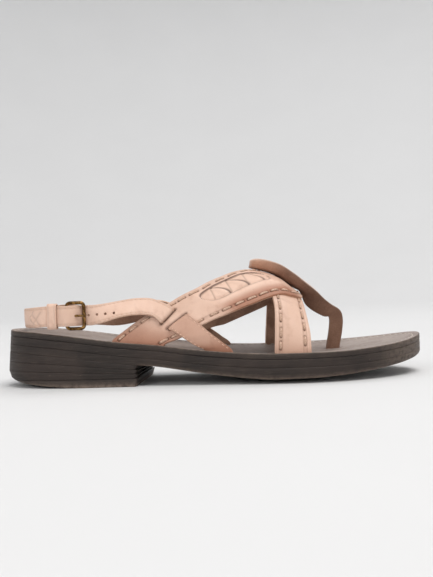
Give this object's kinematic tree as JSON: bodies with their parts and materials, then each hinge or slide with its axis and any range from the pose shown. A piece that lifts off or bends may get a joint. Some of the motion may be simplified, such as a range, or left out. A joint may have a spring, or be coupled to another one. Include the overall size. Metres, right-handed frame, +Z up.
{
  "type": "leather thong sandal",
  "caption": "Flat leather thong sandal for the right foot with crossed instep bands, a leaf-shaped tongue, a buckled heel sling and a low stacked heel.",
  "frame": {"origin": "on the floor under the middle of the shoe's bounding box", "axes": "+X from the heel to the toe, +Y to the medial side, +Z up"},
  "size_m": [0.2618, 0.0932, 0.0747],
  "materials": {
    "footbed_leather": "worn matt grey-brown grain",
    "sole_leather": "dark stained and burnished edge",
    "strap_leather": "natural vegetable-tanned grain, satin",
    "thong_leather": "flesh side, matt",
    "buckle_brass": "antique, satin"
  },
  "bodies": {
    "root": {"footbed": "footbed_leather", "midsole": "sole_leather", "outsole": "sole_leather", "heel_lift_1": "sole_leather", "heel_lift_2": "sole_leather", "heel_lift_3": "sole_leather", "heel_top_piece": "sole_leather", "upper_straps": "strap_leather", "thong": "thong_leather", "sling_strap_lateral": "strap_leather", "sling_strap_medial": "strap_leather", "strap_keeper": "strap_leather", "buckle_frame": "buckle_brass", "buckle_prong": "buckle_brass"}
  },
  "joints": []
}
